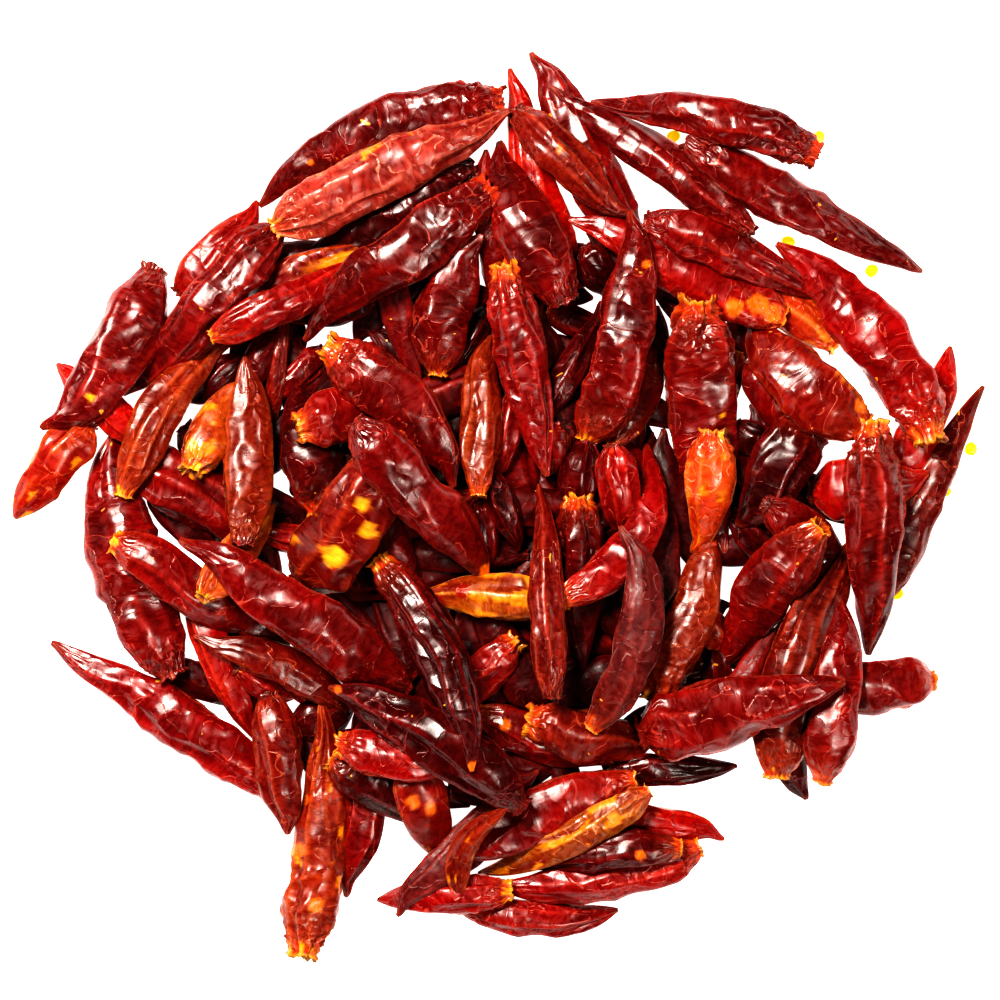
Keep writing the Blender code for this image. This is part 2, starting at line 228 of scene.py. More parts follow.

# Pods under the others where the picture is dark between them, their dark skin painted shade
LAID_UNDER = [
    (335, 258, 250, 258, 38, "dark"),
    (372, 300, 284, 321, 30, "dark"),
    (300, 350, 278, 300, 26, "dark"),
    (262, 472, 292, 402, 34, "dark"),
    (320, 364, 262, 350, 26, "dark"),
    (452, 790, 540, 778, 40, "dark"),
    (212, 548, 142, 490, 36, "dark"),
]

# Loose seeds beside the heap, in picture pixels: x, y, turn in degrees
SEEDS = [
    (674, 135, 20), (820, 136, 70), (789, 241, 0), (873, 270, 40),
    (973, 449, 80), (946, 491, 0), (925, 524, 60), (898, 594, 10),
]
SEED_WIDE = 0.0032
SEED_THICK = 0.0010
SEED_COLUMNS = 28
# Rings of a seed from the middle of its upper face to that of its lower one: reach, height
SEED_PROFILE = (
    (0.05, 0.62), (0.45, 0.66), (0.74, 0.92), (0.92, 1.0), (1.0, 0.55), (0.94, 0.12), (0.6, 0.0),
    (0.05, 0.0),
)
CORE_COLUMNS, CORE_RINGS = 64, 18

# Skin colours in linear light: body, mottling, crease lines (paler, a painted highlight on fold rims)
SKINS = {
    "wine": ((0.215, 0.0022, 0.0014), (0.095, 0.0009, 0.0007), (0.48, 0.038, 0.022)),
    # Dark skin: partly a real dark pod colour, partly painted shade on low pods that lie in shadow.
    "dark": ((0.105, 0.001, 0.0012), (0.035, 0.0004, 0.0005), (0.3, 0.015, 0.012)),
    "ruby": ((0.32, 0.002, 0.002), (0.17, 0.001, 0.0012), (0.58, 0.05, 0.035)),
    "red": ((0.3, 0.0026, 0.0018), (0.145, 0.001, 0.001), (0.56, 0.045, 0.022)),
    "bright": ((0.42, 0.0045, 0.0018), (0.26, 0.0018, 0.001), (0.74, 0.09, 0.035)),
    "flame": ((0.5, 0.022, 0.002), (0.29, 0.0045, 0.0012), (0.82, 0.2, 0.04)),
    "ember": ((0.58, 0.08, 0.0055), (0.38, 0.02, 0.002), (0.84, 0.28, 0.05)),
    "coral": ((0.4, 0.042, 0.023), (0.21, 0.008, 0.004), (0.82, 0.26, 0.16)),
    "orange": ((0.5, 0.095, 0.004), (0.3, 0.02, 0.002), (0.84, 0.32, 0.045)),
    "gold": ((0.5, 0.12, 0.006), (0.26, 0.016, 0.002), (0.86, 0.38, 0.06)),
    "tan": ((0.33, 0.033, 0.0035), (0.18, 0.008, 0.0015), (0.62, 0.15, 0.035)),
    "rust": ((0.37, 0.03, 0.0025), (0.19, 0.007, 0.0013), (0.64, 0.15, 0.028)),
    "brown": ((0.225, 0.01, 0.0026), (0.11, 0.0026, 0.0012), (0.48, 0.07, 0.022)),
    "matte": ((0.18, 0.009, 0.007), (0.09, 0.003, 0.003), (0.38, 0.055, 0.04)),
    "edged": ((0.27, 0.0026, 0.002), (0.14, 0.0012, 0.001), (0.75, 0.18, 0.012)),
    "spotted": ((0.3, 0.008, 0.002), (0.145, 0.002, 0.0012), (0.56, 0.085, 0.026)),
}
ENDS = {
    "ruby": (0.30, 0.012, 0.004),
    "yellow": (0.78, 0.360, 0.022),
    "orange": (0.62, 0.120, 0.008),
    "torn": (0.66, 0.150, 0.008),
    "ragged": (0.28, 0.018, 0.006),
    "frayed": (0.80, 0.330, 0.018),
    "plain": (0.24, 0.012, 0.005),
    "open": (0.10, 0.004, 0.003),
    "hidden": (0.20, 0.006, 0.004),
}
SPOT = (0.80, 0.270, 0.010)
BLUSH = (0.44, 0.045, 0.005)
TIP = (0.34, 0.045, 0.010)
TORN_RIM = (0.82, 0.380, 0.025)
# Painted shade in the stalk pit: darkest at its bottom, a little lighter at its rim.
PIT_PAINTED_SHADE = (0.30, 0.45, 0.75, 1.0, 1.05, 1.0)  # of the rings from the pit to the skin
# Near-black core colour: painted shade for the deep gaps where the core shows.
CORE_SHADE_COLOUR = (0.05, 0.001, 0.001, 0.0)
SEED_COLOUR = (1.0, 0.84, 0.006, 0.0)
SEED_GLOW = (1.0, 0.75, 0.0, 1.0)
FLECK = (0.72, 0.36, 0.04, 1.0)
HIGHLIGHT = (1.0, 0.96, 0.88, 1.0)
FOLD_DEPTH = 0.0011  # of the wrinkles that only the material draws
GRAIN_DEPTH = 0.0002
# Stalk ends with a wide, broken rim, and how far the coloured ones reach along the pod
TORN_ENDS = ("open", "torn", "frayed", "ragged")
END_REACH = {"yellow": 0.024, "orange": 0.045, "torn": 0.05, "frayed": 0.04}
# Skins with orange blotches, and how rare these are
SPOTTED_FROM = {
    "gold": 0.24, "spotted": 0.52, "flame": 0.40, "rust": 0.42, "coral": 0.60, "orange": 0.26,
    "ember": 0.30,
}
# Pieces by kind of skin: skins in it, roughness, specular level, bump, crease colour (for the painted
# highlights)
KINDS = {
    "wine_pods": (("wine",), 0.23, 0.58, 0.50, (0.62, 0.100, 0.052, 1.0)),
    "dark_pods": (("dark",), 0.22, 0.42, 0.50, (0.36, 0.035, 0.025, 1.0)),
    "red_pods": (("red", "ruby", "edged"), 0.23, 0.58, 0.50, (0.70, 0.120, 0.055, 1.0)),
    "bright_pods": (("bright", "flame"), 0.24, 0.48, 0.50, (0.84, 0.200, 0.080, 1.0)),
    "coral_pods": (("coral", "orange", "gold", "ember"), 0.27, 0.55, 0.55, (0.86, 0.360, 0.190, 1.0)),
    "brown_pods": (("brown", "rust", "tan", "spotted"), 0.25, 0.48, 0.50, (0.60, 0.130, 0.045, 1.0)),
    "dull_pods": (("matte",), 0.38, 0.40, 0.50, (0.42, 0.240, 0.200, 1.0)),
    "hidden_pods": ((), 0.34, 0.26, 0.50, (0.30, 0.030, 0.020, 1.0)),
}
# Single marks that the picture shows: pod, x, y, radius in pixels, colour
MARKS = [
    (104, 364, 505, 7, "frayed"), (104, 368, 530, 9, "frayed"), (104, 335, 556, 11, "frayed"),
    (112, 490, 574, 11, "torn"), (113, 474, 765, 6, "torn"), (56, 197, 646, 5, "yellow"),
    (58, 299, 850, 7, "orange"), (58, 303, 800, 6, "orange"), (58, 316, 905, 8, "torn"),
    (106, 338, 689, 4, "orange"),
    (72, 734, 308, 9, "torn"), (72, 758, 305, 11, "torn"), (72, 772, 314, 9, "torn"),
    (47, 505, 725, 6, "torn"), (60, 414, 800, 7, "torn"), (60, 431, 808, 6, "torn"),
    (50, 310, 162, 3, "torn"), (52, 92, 398, 4, "yellow"), (23, 640, 855, 5, "torn"),
    (86, 436, 603, 8, "ruby"), (86, 462, 590, 7, "ruby"), (98, 660, 228, 7, "torn"),
    (74, 560, 150, 4, "torn"), (100, 845, 330, 3, "yellow"), (70, 862, 405, 9, "torn"),
    (70, 783, 378, 3, "yellow"), (100, 721, 415, 3, "yellow"), (101, 646, 265, 4, "torn"),
]

# Area lights, all aimed at the origin: name, place, size, power
LIGHTS = [
    ("key", (-0.45, 0.58, 1.15), (0.46, 0.38), 24.5),
    ("fill", (0.50, -0.38, 1.05), (0.24, 0.34), 4.6),
    ("left_edge", (-1.25, -0.25, 0.42), (0.9, 0.25), 2.6),
    ("right_edge", (1.20, 0.45, 0.42), (0.9, 0.25), 2.6),
    ("front_edge", (0.10, -1.25, 0.42), (0.9, 0.25), 2.2),
]
PICTURE_PX = 1000
SENSOR_MM = 36.0
CAMERA_UP = 2.0
SEEN_AT = 0.009  # height at which the picture's scale holds


def in_plan(x, y):
    """A picture point in metres from the origin."""
    return np.array([(x - CENTRE_PX[0]) * PIXEL, (CENTRE_PX[1] - y) * PIXEL])


def fullness(t):
    """Half width of a pod at t along it (0 stalk, 1 tip), over its widest half width."""
    shoulder = np.clip((t + 0.035) / 0.25, 0.0, 1.0)
    body = np.sqrt(1.0 - (1.0 - shoulder) ** 2)
    taper = np.clip((t - TAPER_FROM) / TAPER_LONG, 0.0, 1.0)
    return np.maximum(body * (1.0 - 0.88 * taper ** 1.55), 0.06)


class Pod:
    """One pod in plan, with the height, slope and upward bow of its centre line."""

    def __init__(self, x, y, tip_x, tip_y, width, skin, end="plain", bow=0):
        stalk, tip = in_plan(x, y), in_plan(tip_x, tip_y)
        chord = tip - stalk
        self.length = float(np.linalg.norm(chord))
        self.along = chord / self.length
        self.left = np.array([-self.along[1], self.along[0]])
        self.middle = (stalk + tip) / 2
        self.half = width * PIXEL / 2
        self.bow = bow * PIXEL
        self.skin, self.end, self.number = skin, end, -1
        self.height, self.slope, self.arch = 0.0, 0.0, 0.0
        self.spots, self.swell, self.u = None, None, None

    def plan_bow(self, t):
        """How far the centre line bows to the left at t."""
        return self.bow * (1.0 - (2.0 * t - 1.0) ** 2)

    def rise(self, t):
        """Height of the centre line at t."""
        u = (t - 0.5) * self.length
        return self.height + self.slope * u + self.arch * u * u

    def level(self):
        """Height of the centre line over each of the pod's cells."""
        return self.height + self.slope * self.u + self.arch * self.u * self.u

    def place(self, t):
        """Centre line at t, as x, y, z."""
        u = (t - 0.5) * self.length
        spot = self.middle + self.along * u + self.left * self.plan_bow(t)
        return Vector((spot[0], spot[1], self.rise(t)))

    def line(self, t):
        """Centre line at every t of an array."""
        u = (t - 0.5) * self.length
        spot = self.middle + np.outer(u, self.along) + np.outer(self.plan_bow(t), self.left)
        return np.column_stack([spot, self.rise(t)])


def core_field():
    """Height of the low mound in the middle of the heap, on the grid."""
    count = int(2 * FIELD_REACH / CELL)
    axis = -FIELD_REACH + CELL * (np.arange(count) + 0.5)
    x, y = np.meshgrid(axis, axis, indexing="ij")
    cx, cy = in_plan(*CORE_CENTRE_PX)
    off = ((x - cx) / CORE_SIZE[0]) ** 2 + ((y - cy) / CORE_SIZE[1]) ** 2
    return x, y, CORE_HEIGHT * np.sqrt(np.clip(1.0 - off, 0.0, 1.0))


def rest_line(u, need):
    """Height at the middle and slope of the lowest line over the points (u, need)."""
    hull = []
    for point in sorted(zip(u, need)):
        while len(hull) > 1:
            (ax, ay), (bx, by) = hull[-2], hull[-1]
            if (bx - ax) * (point[1] - ay) >= (by - ay) * (point[0] - ax):
                hull.pop()
            else:
                break
        hull.append(point)
    slope = 0.0
    for (ax, ay), (bx, by) in zip(hull, hull[1:]):
        if ax <= 0.0 <= bx:
            slope = (by - ay) / (bx - ax)
    slope = min(max(slope, -STEEPEST), STEEPEST)
    return max(n - slope * v for v, n in zip(u, need)), slope


def footprint(pod, x, y):
    """The grid cells under a pod, with their place along and across it and its half width."""
    dx, dy = x - pod.middle[0], y - pod.middle[1]
    near = np.nonzero(dx * dx + dy * dy < (pod.length / 2 + pod.half * 2) ** 2)
    u = dx[near] * pod.along[0] + dy[near] * pod.along[1]
    t = u / pod.length + 0.5
    across = dx[near] * pod.left[0] + dy[near] * pod.left[1] - pod.plan_bow(t)
    wide = pod.half * fullness(np.clip(t, 0.0, 1.0))
    under = (t > 0.0) & (t < 1.0) & (np.abs(across) < wide * COVERED)
    return (near[0][under], near[1][under]), u[under], across[under], wide[under]


def half_thickness(across, wide):
    """Half thickness of a pod at a distance across it."""
    return FLATNESS * wide * np.sqrt(1.0 - (across / wide) ** 2)


def lay(pod, x, y, field):
    """Lower the pod until it rests on two places round its middle, bowed as lies lowest."""
    cells, u, across, wide = footprint(pod, x, y)
    swell = half_thickness(across, wide)
    need = field[cells] + swell - np.where(field[cells] > 0.0, SINK, 0.0)
    slot = np.round(u / CELL).astype(int)
    at = np.unique(slot)
    highest = np.array([need[slot == s].max() for s in at])
    at = at * CELL
    softest = 4.0 * SOFTEST_BOW / pod.length
    best = None
    for arch in np.linspace(-softest, softest, BOWS_TRIED):
        height, slope = rest_line(at, highest - arch * at * at)
        mean = height + arch * pod.length ** 2 / 12.0
        end = height + abs(slope) * pod.length / 2.0 + arch * pod.length ** 2 / 4.0
        cost = mean + END_WEIGHT * end
        if best is None or cost < best[0] - 1e-6:
            best = (cost, height, slope, arch)
    _, pod.height, pod.slope, pod.arch = best
    field[cells] = np.maximum(field[cells], pod.rise(u / pod.length + 0.5) + swell)
    stout = (wide > 0.3 * pod.half) & (np.abs(across) < 0.88 * wide)
    pod.u, pod.swell = u[stout], swell[stout]
    pod.spots = (cells[0] * field.shape[1] + cells[1])[stout]


def gaps(low, high):
    """Cells that both pods cover, and the free height between them there."""
    shared, a, b = np.intersect1d(low.spots, high.spots, return_indices=True)
    free = (high.level() - high.swell)[b] - (low.level() + low.swell)[a]
    return shared, free


def groups(pods, core_spots, core_top):
    """Lists of pods that hang together, the one with the most first."""
    home = list(range(len(pods)))

    def root(k):
        while home[k] != k:
            k = home[k]
        return k

    on_core = []
    for k, pod in enumerate(pods):
        _, a, b = np.intersect1d(core_spots, pod.spots, return_indices=True)
        if len(a) and ((pod.level() - pod.swell)[b] - core_top[a]).min() < -JOINED:
            on_core.append(k)
        for n in range(k):
            shared, free = gaps(pods[n], pod)
            if len(free) and free.min() < -JOINED:
                home[root(k)] = root(n)
    for k in on_core:
        home[root(k)] = root(on_core[0])
    found = {}
    for k in range(len(pods)):
        found.setdefault(root(k), []).append(k)
    return sorted(found.values(), key=len, reverse=True)


def nearest_crossing(pods, apart, others):
    """Gap, cell and direction of the crossing where the apart pods come closest to the others."""
    best = None
    for k in apart:
        for n in others:
            low, high = (pods[k], pods[n]) if n > k else (pods[n], pods[k])
            shared, free = gaps(low, high)
            if len(shared) and (best is None or free.min() < best[0]):
                best = (free.min(), shared[free.argmin()], 1.0 if n > k else -1.0)
    return best


def tuck_in(pods, x, y, core_spots, core_top):
    """Tilt pods that lie apart until they lean on the nearest crossing pod, their far end kept."""
    px, py = x.ravel(), y.ravel()
    for _ in range(TUCK_ROUNDS):
        parts = groups(pods, core_spots, core_top)
        if len(parts) == 1:
            break
        for apart in reversed(parts[1:]):
            others = [k for part in parts if part is not apart for k in part]
            best = nearest_crossing(pods, apart, others)
            if best is not None:
                break
        if best is None:
            break
        here = np.array([px[best[1]], py[best[1]]])
        ends = [pods[k].place(t) for k in apart for t in (0.0, 1.0)]
        far = max((np.array(e[:2]) for e in ends), key=lambda e: np.linalg.norm(e - here))
        reach = here - far
        ramp = best[2] * (best[0] + LIFT) / float(reach @ reach)
        for k in apart:
            pod = pods[k]
            pod.height += ramp * float((pod.middle - far) @ reach)
            pod.slope += ramp * float(pod.along @ reach)


def lay_the_heap():
    """Every visible pod, laid in order, and the grid that they were laid on."""
    x, y, field = core_field()
    core_top = field.ravel()
    core_spots = np.nonzero(core_top > 0.0)[0]
    core_top = core_top[core_spots]
    pods = [Pod(*row) for row in LAID_ON_TABLE + LAID_OVER_THEM + LAID_HIGHER + LAID_LAST]
    for number, pod in enumerate(pods):
        pod.number = number
        lay(pod, x, y, field)
    tuck_in(pods, x, y, core_spots, core_top)
    return pods, x, y


def middles_of(pods, x, y):
    """Over each cell, the mid height of the highest pod there, or -1 where none lies."""
    highest = np.full(x.shape, -1.0)
    for pod in pods:
        cells, u, across, wide = footprint(pod, x, y)
        highest[cells] = np.maximum(highest[cells], pod.rise(u / pod.length + 0.5))
    return highest


def white_gaps(x, y):
    """Cells where the picture shows the floor, in or outside the heap."""
    cx, cy = in_plan(*HEAP_MIDDLE_PX)
    off_x = (x - cx) / (HEAP_REACH_PX[0] * PIXEL)
    off_y = (y - cy) / (HEAP_REACH_PX[1] * PIXEL)
    open_floor = off_x ** 2 + off_y ** 2 > 1.0
    for gx, gy, radius in FLOOR_SEEN:
        mx, my = in_plan(gx, gy)
        open_floor |= (x - mx) ** 2 + (y - my) ** 2 < (radius * PIXEL) ** 2
    return open_floor


def filler_at(dice, x, y, spot, smaller):
    """A pod of chance size and direction with its middle near one cell."""
    angle = dice.random() * 2 * np.pi
    slide = (dice.random() - 0.5) * 0.6
    long = (FILLER_LONG_PX[0] + FILLER_LONG_PX[1] * dice.random()) * smaller
    px = CENTRE_PX[0] + x[spot] / PIXEL + slide * long * math.cos(angle)
    py = CENTRE_PX[1] - y[spot] / PIXEL + slide * long * math.sin(angle)
    ex, ey = math.cos(angle) * long / 2, math.sin(angle) * long / 2
    skin = FILLER_SKINS[int(dice.integers(0, len(FILLER_SKINS)))]
    wide = (FILLER_WIDE_PX[0] + FILLER_WIDE_PX[1] * dice.random()) * (0.4 + 0.6 * smaller)
    return Pod(px - ex, py - ey, px + ex, py + ey, wide, skin)


def room_under(pod, x, y, over, top):
    """The cells of a pod, and the most height that its middle may have under what hides it."""
    cells, _, across, wide = footprint(pod, x, y)
    room = np.where(over[cells] < 0.0, top[cells], over[cells]) - half_thickness(across, wide)
    return cells, room.min() if len(room) else 0.0


def lay_under(pod, height, cells, over, found):
    """Lay one hidden pod, and note the cells that it covers."""
    pod.height = height
    over[cells] = np.where(over[cells] < 0.0, height, over[cells])
    found.append(pod)


def best_filler(dice, x, y, over, top, floor_seen, smaller):
    """Of some chance pods over bare cells, the one that covers most and lies highest, or None."""
    bare = np.argwhere((over < 0.0) & ~floor_seen)
    best = None
    for _ in range(FILLER_TRIES if len(bare) else 0):
        pod = filler_at(dice, x, y, tuple(bare[int(dice.integers(0, len(bare)))]), smaller)
        cells, height = room_under(pod, x, y, over, top)
        if np.count_nonzero(floor_seen[cells]) > MOST_OF_FLOOR or height < FLATNESS * pod.half * 0.35:
            continue
        gain = float(np.count_nonzero(over[cells] < 0.0)) + HEIGHT_GAIN * height
        if best is None or gain > best[0]:
            best = (gain, pod, height, cells)
    return best


def hidden_pods(pods, x, y):
    """Pods under the visible ones: they show only as dark skin (painted shade) in the gaps, and from
    the side.
    """
    dice = np.random.default_rng(SEED)
    over = middles_of(pods, x, y)
    floor_seen = white_gaps(x, y) & (over < 0.0)
    cx, cy = in_plan(*HEAP_MIDDLE_PX)
    off = np.clip(np.hypot(x - cx, y - cy) / (HEAP_REACH_PX[1] * PIXEL), 0.0, 1.0)
    top = FILLER_TOP[1] + (FILLER_TOP[0] - FILLER_TOP[1]) * off
    found = []
    for pod in [Pod(*row) for row in LAID_UNDER]:
        cells, height = room_under(pod, x, y, over, top)
        lay_under(pod, max(height, FLATNESS * pod.half * 0.5), cells, over, found)
    for turn in range(FILLERS):
        smaller = 1.0 if turn < FILLERS // 3 else SMALL_FILLER
        best = best_filler(dice, x, y, over, top, floor_seen, smaller)
        if best is not None:
            lay_under(*best[1:], over, found)
    return found


def lattice_hash(ix, iy, iz, seed):
    """A repeatable whole number for each lattice corner."""
    h = (ix * 73856093) ^ (iy * 19349663) ^ (iz * 83492791) ^ (seed * 2654435761)
    h = h & 0xFFFFFFFF
    h = ((h ^ (h >> 15)) * 2246822519) & 0xFFFFFFFF
    h = ((h ^ (h >> 13)) * 3266489917) & 0xFFFFFFFF
    return h ^ (h >> 16)


def noise(x, y, z, seed):
    """Smooth gradient noise between about -1 and 1."""
    x, y, z = np.broadcast_arrays(x, y, z)
    ix, iy, iz = (np.floor(c).astype(np.int64) for c in (x, y, z))
    fx, fy, fz = x - ix, y - iy, z - iz
    ux, uy, uz = (f * f * f * (f * (f * 6 - 15) + 10) for f in (fx, fy, fz))
    total = 0.0
    for cx in (0, 1):
        for cy in (0, 1):
            for cz in (0, 1):
                h = lattice_hash(ix + cx, iy + cy, iz + cz, seed)
                gx = ((h & 1023) / 511.5) - 1.0
                gy = (((h >> 10) & 1023) / 511.5) - 1.0
                gz = (((h >> 20) & 1023) / 511.5) - 1.0
                dot = gx * (fx - cx) + gy * (fy - cy) + gz * (fz - cz)
                weight = (ux if cx else 1 - ux) * (uy if cy else 1 - uy) * (uz if cz else 1 - uz)
                total = total + weight * dot
    return total * 1.5


def smooth_step(value, low, high):
    """0 up to low, 1 from high, and a smooth rise between them."""
    f = np.clip((value - low) / (high - low), 0.0, 1.0)
    return f * f * (3.0 - 2.0 * f)


def blend(first, second, weight):
    """Colours that go from the first to the second as the weight of each point goes to 1."""
    weight = weight[..., None]
    return np.asarray(first) * (1.0 - weight) + np.asarray(second) * weight


def stations(pod, step):
    """Places of the rings along a pod, closer together at its two ends."""
    count = max(FEWEST_RINGS, int(pod.length / step))
    k = np.linspace(0.0, 1.0, count)
    return k - CROWDING * np.sin(2 * np.pi * k)


def long_creases(dice, fine):
    """Angles of the creases (two at the sides, up to two on top, two below), and for each mesh
    column the facet that it is on and its place across that facet, from 0 to 1."""
    right = 0.34 + 0.16 * dice.random()
    left = np.pi - 0.34 - 0.16 * dice.random()
    one_ridge = [1.05 + 1.05 * dice.random()]
    two_ridges = [0.95 + 0.35 * dice.random(), 1.75 + 0.4 * dice.random()]
    top = ([], one_ridge, two_ridges)[int(dice.integers(0, 3))]
    edges = [right] + top + [left, np.pi + 0.55, 2 * np.pi - 0.55, 2 * np.pi + right]
    counts = [max(3, int(round(g / COLUMN_TURN * fine))) for g in np.diff(edges)]
    counts[-2] = max(3, int(counts[-2] * 0.7))
    facet = np.repeat(np.arange(len(counts)), counts)
    part = np.concatenate([np.arange(c) / c for c in counts])
    return np.array(edges), facet, part


def crease_turns(s, edges, facet, part, seed):
    """Angle of every point round the pod, with creases that wander from side to side."""
    wander = np.array([
        0.22 * noise(s / 17.0, 3.1 * i, 0.5, seed) + 0.04 * noise(s / 6.0, 7.7 * i, 1.5, seed)
        for i in range(len(edges) - 1)
    ])
    corner = edges[:, None] + np.vstack([wander, wander[0]])
    low, high = corner[facet], corner[facet + 1]
    return (low + (high - low) * part[:, None]).T


def facet_depths(s, facet, seed):
    """How far each facet has fallen in, which differs along the pod."""
    depth = np.array([
        np.clip(0.11 + 0.30 * noise(s / 17.0, 5.3 * i + 11.0, 2.5, seed), -0.05, 0.36)
        for i in range(facet[-1] + 1)
    ])
    return depth[facet].T


def girth(t, start, shoulder_long, blunt):
    """Half width along a visible pod over its widest: a cut stalk end and a long taper."""
    shoulder = np.clip(t / shoulder_long, 0.0, 1.0)
    body = start + (1.0 - start) * (1.0 - (1.0 - shoulder) ** 1.9)
    taper = np.clip((t - TAPER_FROM) / TAPER_LONG, 0.0, 1.0)
    return np.maximum(body * (1.0 - 0.91 * taper ** blunt), 0.05)


class Skin:
    """One pod's skin, in rings from the stalk (t = 0) to the tip (t = 1) and in columns round it.

    s and mm are millimetres along the pod, rx and ry the place round it, for the noise.
    """

    def __init__(self, pod, seed, step, fine):
        self.pod, self.seed = pod, seed
        self.dice = np.random.default_rng(seed)
        self.t = stations(pod, step)
        self.s = self.t * pod.length * 1000.0
        edges, facet, part = long_creases(self.dice, fine)
        self.turn = crease_turns(self.s, edges, facet, part, seed)
        self.bulge = np.sin(np.pi * part)[None, :] ** 0.75
        self.depth = facet_depths(self.s, facet, seed)
        self.fallen = self.depth * self.bulge
        self.cos_turn, self.sin_turn = np.cos(self.turn), np.sin(self.turn)
        self.mm = self.s[:, None]
        self.rx, self.ry = self.cos_turn * ROUND_SCALE, self.sin_turn * ROUND_SCALE
        self.torn = pod.end in TORN_ENDS
        self.near_stalk = np.exp(-self.t / (0.085 + 0.03 * self.torn))[:, None]
        self.size = self.widths()
        self.patch = smooth_step(self.noise(14.0, 4.0, 5), -0.05, 0.35)
        self.across = np.abs(self.noise(2.6, 5.2, 1, 0.8))
        self.dents = np.abs(self.noise(12.0, 3.6, 3))
        self.wrinkly = self.dice.random() ** 1.6
        self.gather = self.pleats()

    def noise(self, along, around, number, slant=0.0):
        """Noise with features this many millimetres long and wide."""
        spot = self.mm / along + slant * self.cos_turn if slant else self.mm / along
        return noise(spot, self.rx / around, self.ry / around, self.seed + number)

    def ragged(self, around, along, number):
        """Noise for the ragged edge of a patch of colour."""
        return noise(self.rx * around, self.ry * around, self.mm / along, self.seed + number)

    def widths(self):
        """Half width at each ring over the widest."""
        shoulder_long = 0.14 + (0.12 if self.torn else 0.22) * self.dice.random()
        start = (0.52 if self.torn else 0.32) + 0.16 * self.dice.random()
        blunt = 1.8 + 1.1 * self.dice.random()
        size = girth(np.clip(self.t, 0.0, 1.0), start, shoulder_long, blunt)
        return size * (1.0 + 0.07 * noise(self.s / 14.0, 40.0, 0.0, self.seed))

    def pleats(self):
        """How far the skin is gathered in between six to nine pleats."""
        count = 6 + int(self.dice.integers(0, 4))
        return np.abs(np.sin(0.5 * count * self.turn + 2.4 * self.noise(5.0, 5.0, 8)))

    def fold(self):
        """How far broad dents, waves across and folds at both ends push the skin out."""
        near_tip = smooth_step(self.t, 0.76, 1.0)[:, None]
        waves = self.noise(3.8, 5.5, 2, 0.5)
        length_folds = np.abs(self.noise(15.0, 1.5, 4))
        crumple = np.abs(self.noise(2.4, 1.8, 7))
        push = 0.08 * self.noise(11.0, 3.6, 6) - 0.34 * np.minimum(self.dents, 0.45)
        push = push + (0.018 + 0.050 * self.wrinkly) * waves * (0.3 + 0.7 * self.patch)
        push = push - (0.02 + 0.08 * self.wrinkly) * self.patch * np.minimum(self.across, 0.45)
        push = push - 0.22 * near_tip * np.minimum(length_folds, 0.5)
        push = push - (0.50 if self.torn else 0.28) * self.near_stalk * self.gather
        return push - (0.50 if self.torn else 0.20) * self.near_stalk * np.minimum(crumple, 0.5)

    def centre_line(self):
        """The centre line with a slight wander and a curled tip, and the axes at each ring."""
        line = self.pod.line(self.t)
        sway = self.pod.half * 0.16 * noise(self.s / 16.0, 60.0, 0.0, self.seed)
        sway = sway * np.sin(np.pi * self.t)
        curl = self.pod.half * (self.dice.random() - 0.5) * 0.9 * smooth_step(self.t, 0.80, 1.0) ** 2
        ahead = np.gradient(line, axis=0)
        ahead /= np.linalg.norm(ahead, axis=1)[:, None]
        side = np.cross(np.array([0.0, 0.0, 1.0]), ahead)
        side /= np.linalg.norm(side, axis=1)[:, None]
        return line + side * (sway + curl)[:, None], ahead, side, np.cross(ahead, side)

    def points(self):
        """Every point of the skin, the centre line, and the direction of the pod at its stalk."""
        push = self.fold()
        radius = (1.17 + 0.12 * self.near_stalk) * (1.0 - self.fallen)
        radius = np.maximum(radius + push * (0.45 + 0.55 * self.size[:, None]), 0.30)
        line, ahead, side, up = self.centre_line()
        roll = 0.30 * (self.dice.random() - 0.5) + 0.30 * noise(self.s / 24.0, 80.0, 0.0, self.seed)
        cos_roll, sin_roll = np.cos(roll)[:, None], np.sin(roll)[:, None]
        wide = (self.pod.half * self.size)[:, None]
        slimmer = 0.10 * smooth_step(self.t, 0.45, 0.95)[:, None]
        flat = FLATNESS * (1.0 - slimmer + 0.18 * self.near_stalk)
        a = radius * self.cos_turn * wide
        b = radius * np.sign(self.sin_turn) * np.abs(self.sin_turn) ** 0.86 * (wide * flat)
        rolled_a = (a * cos_roll - b * sin_roll)[..., None]
        rolled_b = (a * sin_roll + b * cos_roll) * (1.0 - 0.35 * np.abs(sin_roll))
        keep = FLATNESS * wide * 1.12
        rolled_b = np.clip(rolled_b, -keep, keep)[..., None]
        points = line[:, None, :] + side[:, None, :] * rolled_a + up[:, None, :] * rolled_b
        return points, line, ahead[0]

    def creases(self):
        """How far each point is on a fold's rim (painted highlight) and in a hollow (painted shade).
        """
        crest = (1.0 - self.bulge) ** 6 * smooth_step(self.depth, 0.02, 0.12)
        rims = (1.0 - np.minimum(self.dents / 0.07, 1.0)) * 0.8
        rims = np.maximum(rims, self.patch * (1.0 - np.minimum(self.across / 0.05, 1.0)))
        pleat_rims = self.near_stalk * (1.0 - np.minimum(self.gather / 0.30, 1.0))
        lines = np.clip(0.7 * crest + 0.45 * rims + 0.9 * pleat_rims, 0.0, 1.0)
        hollow = self.fallen * 2.0 + 0.8 * self.dents + 0.6 * self.patch * self.across
        return lines, np.clip(hollow, 0.0, 1.0)

    def places(self):
        """Where the material's noise is read at each point, and how far folds cross the pod."""
        swirl = [self.noise(4.0, 3.0, 30 + k) for k in range(3)]
        some = smooth_step(self.noise(7.0, 4.0, 33), -0.12, 0.15)
        crossing = np.maximum(some * (0.15 + 0.85 * self.wrinkly), self.near_stalk)
        start = (self.seed % 97) * 53.0
        return np.stack([
            self.mm + start + 1.9 * swirl[0],
            self.rx + 1.1 * swirl[1],
            self.ry + 1.1 * swirl[2],
            np.clip(crossing, 0.0, 1.0),
        ], axis=-1)


